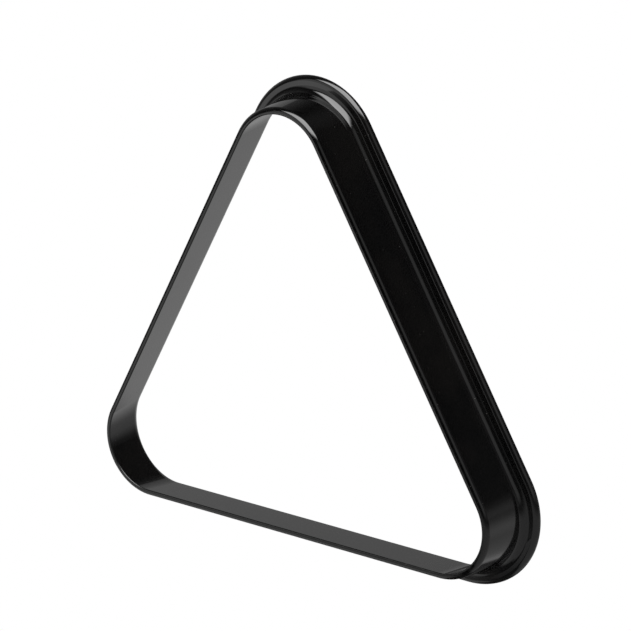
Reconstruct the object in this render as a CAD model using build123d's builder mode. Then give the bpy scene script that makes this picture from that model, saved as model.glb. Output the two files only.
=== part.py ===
from build123d import *
import os
from math import cos, radians, sqrt, tan

# Triangle rack for fifteen pool balls: one moulded piece.
#
# The rack lies as it does on the table: its foot on the cloth at Z = 0, the brim on top and the
# apex towards +Y, with the origin under the middle of its footprint.  One section runs unchanged
# round a triangle with round corners: a leaning wall that flares outwards into the brim, all of one
# thickness, as a moulding has it.  Both ends of the section are nearly sharp on the inside and
# fully rounded on the outside, where the hands hold it.

os.makedirs("parts", exist_ok=True)

# ---------------------------------------------------------------- driving dimensions (mm, degrees)
ball_diameter = 57.15       # American pool ball, 2 1/4 in
balls_per_side = 5          # 5 + 4 + 3 + 2 + 1 = 15 balls
corner_play = 0.6           # room beyond each corner ball as the foot passes over it
corner_radius = 31.0        # inside of each corner, measured at the foot

rack_height = 35.0          # foot to the top of the brim
wall_thickness = 3.9        # the same in the wall, the flare and the brim
wall_lean = 8.0             # the wall opens this much towards the brim
flare_radius = 8.8          # inside of the bend between wall and brim
brim_ledge = 2.1            # flat under the brim, between the bend and the rounded edge

foot_inner_rounding = 0.6   # edge that slides past the balls
foot_land = 0.4             # flat that stands on the cloth
brim_upper_rounding = 0.6   # upper edge of the brim
brim_edge_land = 0.1        # flat round the outside of the brim

# ---------------------------------------------------------------- sizes that follow from them
# The five balls of a side have their centres on a triangle, and the corner ball just clears the
# inside of the corner arc at the foot, which is the narrowest place.
corner_ball_distance = (balls_per_side - 1) * ball_diameter / sqrt(3)
corner_reach = corner_ball_distance + ball_diameter / 2 + corner_play
foot_apothem = (corner_reach + corner_radius) / 2

# An arc at a corner of the section takes its radius times one of these from each side of the
# corner: where the wall leaves the foot's outer edge or turns into the brim, and at the inner edge.
open_corner = tan(radians(90 - wall_lean) / 2)
tight_corner = tan(radians(90 + wall_lean) / 2)

lean_slope = tan(radians(wall_lean))
foot_width = wall_thickness / cos(radians(wall_lean))
foot_outer_rounding = (foot_width - foot_land - foot_inner_rounding * tight_corner) / open_corner

brim_underside = rack_height - wall_thickness
brim_lower_rounding = wall_thickness - brim_upper_rounding - brim_edge_land
outer_bend_radius = flare_radius - wall_thickness
outer_bend = foot_width + brim_underside * lean_slope
brim_reach = outer_bend + outer_bend_radius * open_corner + brim_ledge + brim_lower_rounding

# The brim reaches further at the apex than at the base, so the triangle's centre lies this far
# from the middle of the footprint.
apex_to_centre = 2 * (foot_apothem - corner_radius) + corner_radius + brim_reach
base_to_centre = foot_apothem + brim_reach
centre_offset = (base_to_centre - apex_to_centre) / 2

# ---------------------------------------------------------------- path round the inside of the foot
with BuildSketch(Plane.XY.move(Location((0, centre_offset, 0)))) as foot_opening:
    RegularPolygon(radius=foot_apothem, side_count=3, major_radius=False, rotation=90)
    fillet(foot_opening.vertices(), radius=corner_radius)
inner_path = foot_opening.sketch.face().outer_wire()

# ---------------------------------------------------------------- section of the moulding
# x is out from the inner edge of the foot and y is up.
path_start = inner_path.position_at(0)
path_direction = inner_path.tangent_at(0)
outward = path_direction.cross(Vector(0, 0, 1))
section_plane = Plane(origin=path_start, x_dir=outward, z_dir=-path_direction)

foot_inner = (0, 0)
bend_inner = (rack_height * lean_slope, rack_height)
brim_top = (brim_reach, rack_height)
brim_bottom = (brim_reach, brim_underside)
bend_outer = (outer_bend, brim_underside)
foot_outer = (foot_width, 0)

with BuildSketch(section_plane) as section:
    with BuildLine() as outline:
        Polyline(foot_inner, bend_inner, brim_top, brim_bottom, bend_outer, foot_outer, close=True)
    make_face()
    for corner, rounding in (
        (bend_inner, flare_radius),
        (bend_outer, outer_bend_radius),
        (foot_inner, foot_inner_rounding),
        (foot_outer, foot_outer_rounding),
        (brim_top, brim_upper_rounding),
        (brim_bottom, brim_lower_rounding),
    ):
        fillet(section.vertices().sort_by_distance(corner)[0], radius=rounding)

# ---------------------------------------------------------------- the rack
with BuildPart() as rack:
    add(section.sketch)
    sweep(path=inner_path)

rack.part.label = "rack_moulding"
export_step(rack.part, "parts/rack_moulding.step")
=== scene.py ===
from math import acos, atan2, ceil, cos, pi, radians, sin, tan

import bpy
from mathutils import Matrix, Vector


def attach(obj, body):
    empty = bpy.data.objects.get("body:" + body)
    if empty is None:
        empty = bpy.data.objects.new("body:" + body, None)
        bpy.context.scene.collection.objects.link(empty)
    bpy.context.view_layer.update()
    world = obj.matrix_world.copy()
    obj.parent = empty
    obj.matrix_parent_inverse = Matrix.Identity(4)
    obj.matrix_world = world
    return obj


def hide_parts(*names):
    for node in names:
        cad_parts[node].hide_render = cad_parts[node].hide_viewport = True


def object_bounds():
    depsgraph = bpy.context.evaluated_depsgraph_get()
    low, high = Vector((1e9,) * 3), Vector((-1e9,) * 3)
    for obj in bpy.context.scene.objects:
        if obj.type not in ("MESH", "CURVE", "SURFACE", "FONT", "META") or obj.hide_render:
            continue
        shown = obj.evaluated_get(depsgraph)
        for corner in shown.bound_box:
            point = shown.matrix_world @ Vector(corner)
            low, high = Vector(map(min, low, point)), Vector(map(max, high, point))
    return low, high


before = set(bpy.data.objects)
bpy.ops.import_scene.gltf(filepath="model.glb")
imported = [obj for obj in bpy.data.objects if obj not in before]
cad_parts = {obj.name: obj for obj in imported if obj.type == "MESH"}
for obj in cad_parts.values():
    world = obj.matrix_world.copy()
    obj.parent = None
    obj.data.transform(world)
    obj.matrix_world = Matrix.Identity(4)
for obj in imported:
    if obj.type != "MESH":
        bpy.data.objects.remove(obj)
cad_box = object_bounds()

# Triangle rack for fifteen pool balls: one glossy black moulding, lying on a pale floor as it lies
# on the table, foot down and apex towards +Y.  The camera looks at the foot side, from below the
# floor, which doesn't show from underneath.
#
# Sizes of the moulding are in millimetres and the scene is in metres.

MM = 0.001

# ------------------------------------------------------------------------------ the moulding's sizes
corner_radius = 31.0
wall_thickness = 3.9
wall_lean = radians(8.0)
flare_radius = 8.8
brim_ledge = 2.1
foot_inner_rounding = 0.6
foot_land = 0.4
brim_upper_rounding = 0.6
brim_edge_land = 0.1

low, high = (Vector(corner) / MM for corner in cad_box)
rack_height = high.z - low.z

open_corner = tan((pi / 2 - wall_lean) / 2)
tight_corner = tan((pi / 2 + wall_lean) / 2)
foot_width = wall_thickness / cos(wall_lean)
foot_outer_rounding = (foot_width - foot_land - foot_inner_rounding * tight_corner) / open_corner
brim_underside = rack_height - wall_thickness
brim_lower_rounding = wall_thickness - brim_upper_rounding - brim_edge_land
outer_bend_radius = flare_radius - wall_thickness
outer_bend = foot_width + brim_underside * tan(wall_lean)
brim_reach = outer_bend + outer_bend_radius * open_corner + brim_ledge + brim_lower_rounding

# From base to apex the footprint is three apothems of the foot's opening, less the corner's radius,
# with the brim's reach at both ends, so its length gives the apothem.
foot_apothem = ((high.y - low.y) - 2 * brim_reach + corner_radius) / 3
centre_y = low.y + brim_reach + foot_apothem

# --------------------------------------------------------------------------------- mesh of the rack
SECTION_STEP = 0.2          # mm, at most, between points round the section's arcs
LEAST_ARC_STEPS = 8
CORNER_STEPS = 72           # steps of the section round each corner of the rack
LEG_STEPS = 24              # lengths along each leg


def rounded_outline(corners):
    """Points and outward normals round a closed outline given as (x, y, rounding) corners."""
    points, normals = [], []
    count = len(corners)
    for index, (x, y, rounding) in enumerate(corners):
        corner = Vector((x, y))
        back = (Vector(corners[index - 1][:2]) - corner).normalized()
        ahead = (Vector(corners[(index + 1) % count][:2]) - corner).normalized()
        half_angle = acos(back.dot(ahead)) / 2
        centre = corner + (back + ahead).normalized() * rounding / sin(half_angle)
        turn = back.x * ahead.y - back.y * ahead.x
        start = corner + back * rounding / tan(half_angle) - centre
        end = corner + ahead * rounding / tan(half_angle) - centre
        first = atan2(start.y, start.x)
        sweep = (atan2(end.y, end.x) - first + pi) % (2 * pi) - pi
        steps = max(LEAST_ARC_STEPS, ceil(abs(sweep) * rounding / SECTION_STEP))
        for step in range(steps + 1):
            angle = first + sweep * step / steps
            arm = Vector((cos(angle), sin(angle)))
            points.append(centre + arm * rounding)
            normals.append(arm if turn > 0 else -arm)
    return points, normals


def rack_loop():
    """Stations round the rack: (centre of turning, direction outwards) at the foot's inner edge."""
    stations = []
    for corner in range(3):
        heading = radians(90 + 120 * corner)
        centre = 2 * (foot_apothem - corner_radius) * Vector((cos(heading), sin(heading)))
        following = radians(90 + 120 * (corner + 1))
        next_centre = 2 * (foot_apothem - corner_radius) * Vector((cos(following), sin(following)))
        for step in range(CORNER_STEPS + 1):
            angle = heading - pi / 3 + 2 * pi / 3 * step / CORNER_STEPS
            stations.append((centre, Vector((cos(angle), sin(angle)))))
        outward = stations[-1][1]
        for step in range(1, LEG_STEPS):
            stations.append((centre.lerp(next_centre, step / LEG_STEPS), outward))
    return stations


def build_rack():
    """The section, x out from the foot's inner edge and y up, carried round the rack."""
    section, section_normals = rounded_outline((
        (0, 0, foot_inner_rounding),
        (foot_width, 0, foot_outer_rounding),
        (outer_bend, brim_underside, outer_bend_radius),
        (brim_reach, brim_underside, brim_lower_rounding),
        (brim_reach, rack_height, brim_upper_rounding),
        (rack_height * tan(wall_lean), rack_height, flare_radius),
    ))
    stations = rack_loop()
    vertices, normals, faces = [], [], []
    for centre, outward in stations:
        for point, normal in zip(section, section_normals):
            place = centre + outward * (corner_radius + point.x)
            vertices.append((place.x * MM, (place.y + centre_y) * MM, point.y * MM))
            normals.append((outward.x * normal.x, outward.y * normal.x, normal.y))
    width = len(section)
    for station in range(len(stations)):
        here, there = station * width, (station + 1) % len(stations) * width
        for point in range(width):
            following = (point + 1) % width
            faces.append((here + point, here + following, there + following, there + point))
    mesh = bpy.data.meshes.new("rack_body")
    mesh.from_pydata(vertices, [], faces)
    mesh.shade_smooth()
    mesh.normals_split_custom_set_from_vertices(normals)
    rack = bpy.data.objects.new("rack_body", mesh)
    bpy.context.scene.collection.objects.link(rack)
    return rack


# ---------------------------------------------------------------------------------- node shorthands
class Tree:
    """Adds nodes to a node tree and wires them up."""

    def __init__(self, tree):
        self.tree = tree
        tree.nodes.clear()

    def node(self, kind, inputs=None, **settings):
        node = self.tree.nodes.new(kind)
        for name, value in settings.items():
            setattr(node, name, value)
        for name, value in (inputs or {}).items():
            if isinstance(value, bpy.types.NodeSocket):
                self.tree.links.new(value, node.inputs[name])
            else:
                node.inputs[name].default_value = value
        return node

    def math(self, operation, first, second=0.0):
        return self.node("ShaderNodeMath", {0: first, 1: second}, operation=operation).outputs[0]

    def dot(self, vector, axis):
        inputs = {0: vector, 1: axis}
        return self.node("ShaderNodeVectorMath", inputs, operation="DOT_PRODUCT").outputs["Value"]

    def ramp(self, value, start, end, low=0.0, high=1.0):
        """A smooth step from low at start to high at end."""
        inputs = {"Value": value, "From Min": start, "From Max": end, "To Min": low, "To Max": high}
        node = self.node("ShaderNodeMapRange", inputs, interpolation_type="SMOOTHSTEP")
        return node.outputs["Result"]

    def noise(self, vector, scale, detail=2.0, roughness=0.5):
        inputs = {"Vector": vector, "Scale": scale, "Detail": detail, "Roughness": roughness}
        return self.node("ShaderNodeTexNoise", inputs).outputs["Fac"]

    def mix_colour(self, factor, first, second):
        node = self.node("ShaderNodeMix", {"Factor": factor}, data_type="RGBA")
        for slot, colour in ((6, first), (7, second)):
            if isinstance(colour, bpy.types.NodeSocket):
                self.tree.links.new(colour, node.inputs[slot])
            else:
                node.inputs[slot].default_value = colour
        return node.outputs[2]


# ------------------------------------------------------------------------------ moulded black plastic
BLACK = (0.0044, 0.0044, 0.0046, 1)
GREYER_BLACK = (0.0076, 0.0071, 0.0068, 1)  # in faint clouds
WORN = (0.011, 0.011, 0.011, 1)
DUST = (0.055, 0.052, 0.048, 1)
RUB_TINT = 0.7
DUST_TINT = 0.55
PLASTIC_IOR = 1.5

CLEAN_ROUGHNESS = 0.055
HAZY_ROUGHNESS = 0.085
RUB_ROUGHNESS = 0.16        # these three come on top of it
SCRATCH_ROUGHNESS = 0.10
DUST_ROUGHNESS = 0.45

FOOT_RUB = (0.0011, 0.0001)     # m above the foot: (where the rub begins, where it is full)
BRIM_RUB = (0.0014, 0.0001)     # the same, below the brim's top
SCRATCH_STRETCH = 22.0      # times longer, along X, than wide
SCRATCH_NOISE_TURN = (0.5, 0.3, radians(61))    # turns the noise that is read, not the scratches
DUST_CELLS = 420.0          # per metre
SPECK_RADIUS = (0.16, 0.09)     # of a cell: (clear, full)
SPECK_CELLS = (0.952, 0.958)    # a cell with a random number above these holds a speck
FLOW_DEPTH = 0.0001         # m, slow waves left by the moulding's flow
MARK_DEPTH = 0.00003        # m, scratches and rubbed grain

# Levels of noise at which each of these begins and is full.
RUBBED_PLACES = (0.40, 0.66)
SCRATCHES = (0.665, 0.72)
SCRATCHED_PLACES = (0.50, 0.64)
CLOUDS = (0.36, 0.66)
HAZE = (0.35, 0.7)


def moulded_black():
    material = bpy.data.materials.new("moulded_black")
    material.use_nodes = True
    tree = Tree(material.node_tree)
    place = tree.node("ShaderNodeTexCoord").outputs["Object"]
    level = tree.node("ShaderNodeSeparateXYZ", {0: place}).outputs["Z"]

    # Wear: the foot slides on the cloth, and hands and shelves rub the top of the brim.
    foot_rub = tree.ramp(level, *FOOT_RUB)
    brim_rub = tree.ramp(level, *(rack_height * MM - below_top for below_top in BRIM_RUB))
    rubbed = tree.ramp(tree.noise(place, scale=170.0, detail=5.0, roughness=0.65), *RUBBED_PLACES)
    rub = tree.math("MULTIPLY", tree.math("MAXIMUM", foot_rub, brim_rub), rubbed)

    # Fine scratches along X, in some places only.
    stretched = tree.node("ShaderNodeMapping", {
        "Vector": place,
        "Rotation": SCRATCH_NOISE_TURN,
        "Scale": (1.0, SCRATCH_STRETCH, SCRATCH_STRETCH),
    }).outputs["Vector"]
    scratch = tree.math(
        "MULTIPLY",
        tree.ramp(tree.noise(stretched, scale=60.0), *SCRATCHES),
        tree.ramp(tree.noise(place, scale=24.0), *SCRATCHED_PLACES),
    )

    # Specks of dust, in about one cell of every twenty.
    cells = tree.node("ShaderNodeTexVoronoi", {"Vector": place, "Scale": DUST_CELLS}).outputs
    chosen = tree.node("ShaderNodeSeparateColor", {0: cells["Color"]}).outputs["Red"]
    speck = tree.math(
        "MULTIPLY",
        tree.ramp(cells["Distance"], *SPECK_RADIUS),
        tree.ramp(chosen, *SPECK_CELLS),
    )

    clouds = tree.ramp(tree.noise(place, scale=24.0, detail=4.0, roughness=0.6), *CLOUDS)
    plastic = tree.mix_colour(clouds, BLACK, GREYER_BLACK)
    worn = tree.mix_colour(tree.math("MULTIPLY", rub, RUB_TINT), plastic, WORN)
    colour = tree.mix_colour(tree.math("MULTIPLY", speck, DUST_TINT), worn, DUST)

    haze = tree.noise(place, scale=60.0, detail=4.0, roughness=0.6)
    roughness = tree.ramp(haze, *HAZE, low=CLEAN_ROUGHNESS, high=HAZY_ROUGHNESS)
    for mark, added in ((rub, RUB_ROUGHNESS), (scratch, SCRATCH_ROUGHNESS), (speck, DUST_ROUGHNESS)):
        roughness = tree.math("ADD", roughness, tree.math("MULTIPLY", mark, added))

    flow = tree.node("ShaderNodeBump", {
        "Height": tree.noise(place, scale=28.0, detail=1.0),
        "Strength": 0.25,
        "Distance": FLOW_DEPTH,
    })
    grain = tree.math("MULTIPLY", tree.noise(place, scale=900.0), rub)
    bump = tree.node("ShaderNodeBump", {
        "Height": tree.math("SUBTRACT", grain, scratch),
        "Strength": 0.30,
        "Distance": MARK_DEPTH,
        "Normal": flow.outputs["Normal"],
    })

    shader = tree.node("ShaderNodeBsdfPrincipled", {
        "Base Color": colour,
        "Roughness": roughness,
        "IOR": PLASTIC_IOR,
        "Normal": bump.outputs["Normal"],
    })
    tree.node("ShaderNodeOutputMaterial", {"Surface": shader.outputs["BSDF"]})
    return material


rack = build_rack()
rack.data.materials.append(moulded_black())
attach(rack, "root")
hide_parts("rack_moulding")

# ------------------------------------------------------------------------------------------- camera
SENSOR = 36.0               # mm
LENS = 127.76               # mm
CAMERA_AT = Vector((-0.801153, 0.394114, -0.985488))    # m
LOOKING = Vector((0.591217, -0.291360, 0.752045)).normalized()
ROUGHLY_UP = Vector((0.167004, 0.956482, 0.239275))

camera = bpy.data.objects.new("camera", bpy.data.cameras.new("camera"))
bpy.context.scene.collection.objects.link(camera)
camera.data.sensor_width = SENSOR
camera.data.lens = LENS
camera.data.clip_start = 0.05
camera.data.clip_end = 20.0
upright = (ROUGHLY_UP - ROUGHLY_UP.project(LOOKING)).normalized()
sideways = LOOKING.cross(upright)
turned = Matrix((sideways, upright, -LOOKING)).transposed().to_4x4()
camera.matrix_world = Matrix.Translation(CAMERA_AT) @ turned
bpy.context.scene.camera = camera

# -------------------------------------------------------------------------------------------- floor
FLOOR_COLOUR = (0.88, 0.88, 0.88, 1)
FLOOR_DROP = 0.0003         # keeps the floor clear of the foot
FLOOR_HALF = 3.0            # half of its side
FLOOR_SOLID = 0.35          # the floor fades into the white backdrop between these two radii
FLOOR_GONE = 1.6


def pale_floor():
    material = bpy.data.materials.new("pale_floor")
    material.use_nodes = True
    tree = Tree(material.node_tree)
    place = tree.node("ShaderNodeTexCoord").outputs["Object"]
    paint = tree.node("ShaderNodeBsdfDiffuse", {"Color": FLOOR_COLOUR})
    white = tree.node("ShaderNodeEmission", {"Color": (1, 1, 1, 1)})
    distance = tree.node("ShaderNodeVectorMath", {0: place}, operation="LENGTH").outputs["Value"]
    fade = tree.ramp(distance, FLOOR_SOLID, FLOOR_GONE)
    seen = tree.node("ShaderNodeLightPath").outputs["Is Camera Ray"]
    surface = tree.node("ShaderNodeMixShader", {
        0: tree.math("MULTIPLY", fade, seen), 1: paint.outputs[0], 2: white.outputs[0],
    })
    under = tree.math("MULTIPLY", tree.node("ShaderNodeNewGeometry").outputs["Backfacing"], seen)
    clear = tree.node("ShaderNodeBsdfTransparent")
    shown = tree.node("ShaderNodeMixShader", {0: under, 1: surface.outputs[0], 2: clear.outputs[0]})
    tree.node("ShaderNodeOutputMaterial", {"Surface": shown.outputs[0]})
    return material


floor_mesh = bpy.data.meshes.new("floor")
floor_mesh.from_pydata(
    [(x * FLOOR_HALF, y * FLOOR_HALF, 0) for x, y in ((-1, -1), (1, -1), (1, 1), (-1, 1))],
    [], [(0, 1, 2, 3)],
)
floor_mesh.materials.append(pale_floor())
floor = bpy.data.objects.new("floor", floor_mesh)
floor.location.z = -FLOOR_DROP
floor.visible_glossy = False    # the gloss sees the studio's table instead
bpy.context.scene.collection.objects.link(floor)

# --------------------------------------------------------------------------------------------- lamp
# It hangs above the rack as it lies, and makes the shadow on the floor.  The gloss doesn't see it.
LAMP_AT = Vector((-0.5, -0.7, 1.6))
LAMP_SIZE = 0.9
LAMP_ENERGY = 14.0          # W

lamp = bpy.data.objects.new("overhead_softbox", bpy.data.lights.new("overhead_softbox", "AREA"))
lamp.data.shape = "SQUARE"
lamp.data.size = LAMP_SIZE
lamp.data.energy = LAMP_ENERGY
lamp.location = LAMP_AT
lamp.rotation_euler = (-LAMP_AT).to_track_quat("-Z", "Y").to_euler()
lamp.visible_glossy = False
lamp.visible_camera = False
bpy.context.scene.collection.objects.link(lamp)

# ------------------------------------------------------------------------------------------- studio
# Camera rays see plain white and diffuse rays an even light.  Only glossy and transmission rays see
# the studio: a dark room with a pale table and a few soft panels.  It is laid out round the rack stood
# on its base leg, its foot side to the front: azimuth turns from the back towards the right, and
# elevation is up towards the apex, both in degrees.
SOFT_LEVEL = 0.62           # even light on matt surfaces
ROOM = 0.018                # radiance of the dark room
TABLE_FAR = 0.06            # radiance of the table at the horizon
TABLE_NEAR = 0.44
TABLE_RISE = (-0.03, -0.34)     # sine of the elevation: (table at its darkest, table at its palest)
HORIZON_SOFT = 0.012        # sine of the elevation, above and below, within which the horizon fades
NEARLY_ZERO = 0.001         # least value of what is divided by

# The rack's own shadow on the table.  Distances are to the right and the back on a table one unit
# below, and each edge is given as (clear, dark).
SHADOW_RIGHT = (0.12, -0.06)
SHADOW_LEFT = (-0.52, -0.46)
SHADOW_LEFT_OPEN = (0.1, 0.5)   # towards the back the shadow runs on to the left
SHADOW_FRONT = (-1.99, -1.91)
SHADOW_BACK = (1.16, 1.08)
SHADOW_BACK_SLANT = 0.45    # the back edge recedes by this for each unit to the left
SHADOW_BEND = -0.75         # in front of this the shadow turns to the left
SHADOW_BEND_SLANT = 0.69    # by this for each unit to the front
SHADOW_DEPTH = 0.92         # share of the table's light that it takes


def standing(right, back, up):
    """A vector given for the rack stood up, in the frame's own axes."""
    return Vector((-right, up, back))


def heading(azimuth, elevation):
    across = cos(radians(elevation))
    return standing(
        sin(radians(azimuth)) * across, cos(radians(azimuth)) * across, sin(radians(elevation))
    )


def studio_world():
    world = bpy.data.worlds.new("studio")
    world.use_nodes = True
    tree = Tree(world.node_tree)
    ray = tree.node("ShaderNodeTexCoord").outputs["Generated"]
    ray = tree.node("ShaderNodeVectorMath", {0: ray}, operation="NORMALIZE").outputs["Vector"]

    def times(*values):
        product = values[0]
        for value in values[1:]:
            product = tree.math("MULTIPLY", product, value)
        return product

    def patch(azimuth, elevation, inner, outer):
        """A round patch: 1 within inner degrees of a heading, fading to 0 at outer degrees."""
        nearness = tree.dot(ray, heading(azimuth, elevation))
        return tree.ramp(nearness, cos(radians(outer)), cos(radians(inner)))

    def panel(azimuth, elevation, half_width, half_height, soft, roll=0, side_soft=None):
        """A rectangular panel that faces the rack at distance 1, turned by roll degrees.

        soft is half the width over which its edges fade, and side_soft that of its two sides.
        """
        facing = heading(azimuth, elevation)
        rise = standing(0, 0, 1)
        rise = (rise - rise.project(facing)).normalized()
        run = standing(0, 0, 1).cross(facing).normalized()
        if run.dot(heading(azimuth + 90, 0)) < 0:
            run = -run
        turn = radians(roll)
        run, rise = run * cos(turn) + rise * sin(turn), rise * cos(turn) - run * sin(turn)
        depth = tree.dot(ray, facing)
        safe_depth = tree.math("MAXIMUM", depth, NEARLY_ZERO)
        mask = tree.ramp(depth, 0.0, 0.02)      # none of it on the far side of the rack
        for axis, half, blur in (
            (run, half_width, side_soft or soft), (rise, half_height, soft),
        ):
            offset = tree.math("ABSOLUTE", tree.math("DIVIDE", tree.dot(ray, axis), safe_depth))
            mask = times(mask, tree.ramp(offset, half + blur, half - blur))
        return mask

    height = tree.dot(ray, standing(0, 0, 1))
    above = tree.ramp(height, -HORIZON_SOFT, HORIZON_SOFT)
    below = tree.math("SUBTRACT", 1.0, above)

    drop = tree.math("MAXIMUM", tree.math("MULTIPLY", height, -1.0), NEARLY_ZERO)
    table_right = tree.math("DIVIDE", tree.dot(ray, standing(1, 0, 0)), drop)
    table_back = tree.math("DIVIDE", tree.dot(ray, standing(0, 1, 0)), drop)
    slanted_back = tree.math("ADD", table_back, times(table_right, SHADOW_BACK_SLANT))
    past_bend = tree.math("MAXIMUM", tree.math("SUBTRACT", SHADOW_BEND, table_back), 0.0)
    bent_right = tree.math("ADD", table_right, times(past_bend, SHADOW_BEND_SLANT))
    shadow = times(
        tree.ramp(bent_right, *SHADOW_RIGHT),
        tree.math(
            "MAXIMUM", tree.ramp(bent_right, *SHADOW_LEFT), tree.ramp(table_back, *SHADOW_LEFT_OPEN)
        ),
        tree.ramp(table_back, *SHADOW_FRONT),
        tree.ramp(slanted_back, *SHADOW_BACK),
        SHADOW_DEPTH,
    )
    unshadowed = tree.math("SUBTRACT", 1.0, shadow)

    table_tone = tree.ramp(height, *TABLE_RISE, low=TABLE_FAR, high=TABLE_NEAR)

    # Each light is a name, then the masks and the radiance that are multiplied together.
    lights = [
        ("room", above, ROOM),
        ("table", below, unshadowed, table_tone),
        ("table's paler patch at the back", below, unshadowed,
         patch(-8, -36, inner=6, outer=26), 0.24),
        ("table's paler right side", patch(56, -9, inner=6, outer=24), 0.19),
        ("wall on the right", above, patch(73, 7, inner=9, outer=27), 0.17),
        ("haze on the left wall", above, patch(-74, 5, inner=26, outer=64), 0.13),
        ("reflector on the left", above,
         panel(-60, 8, half_width=0.88, half_height=0.38, soft=0.015, side_soft=0.18), 0.19),
        ("ceiling", patch(50, 77, inner=12, outer=36), 0.16),
        ("softbox over the apex",
         panel(162, 65, half_width=0.65, half_height=0.48, soft=0.12, roll=-36), 8.00),
        ("strip in front, right", panel(117, 22, half_width=0.37, half_height=0.31, soft=0.19), 0.50),
        ("card in front", panel(-153, 9, half_width=0.28, half_height=0.40, soft=0.08), 0.90),
        ("card lying lower", panel(-130, -12, half_width=0.25, half_height=0.17, soft=0.05), 0.45),
        ("its light on the table", patch(-122, -42, inner=10, outer=24), 0.22),
    ]
    total = 0.0
    for name, *factors in lights:
        light = times(*factors)
        light.node.label = name
        total = tree.math("ADD", light, total)

    rays = tree.node("ShaderNodeLightPath").outputs
    mirrored = tree.math("MAXIMUM", rays["Is Glossy Ray"], rays["Is Transmission Ray"])
    level = tree.node("ShaderNodeMix", {0: mirrored, 2: SOFT_LEVEL, 3: total}).outputs[0]
    level = tree.node("ShaderNodeMix", {0: rays["Is Camera Ray"], 2: level, 3: 1.0}).outputs[0]
    background = tree.node("ShaderNodeBackground", {"Color": (1, 1, 1, 1), "Strength": level})
    tree.node("ShaderNodeOutputWorld", {"Surface": background.outputs[0]})
    return world


bpy.context.scene.world = studio_world()
bpy.context.scene.view_settings.view_transform = "Standard"
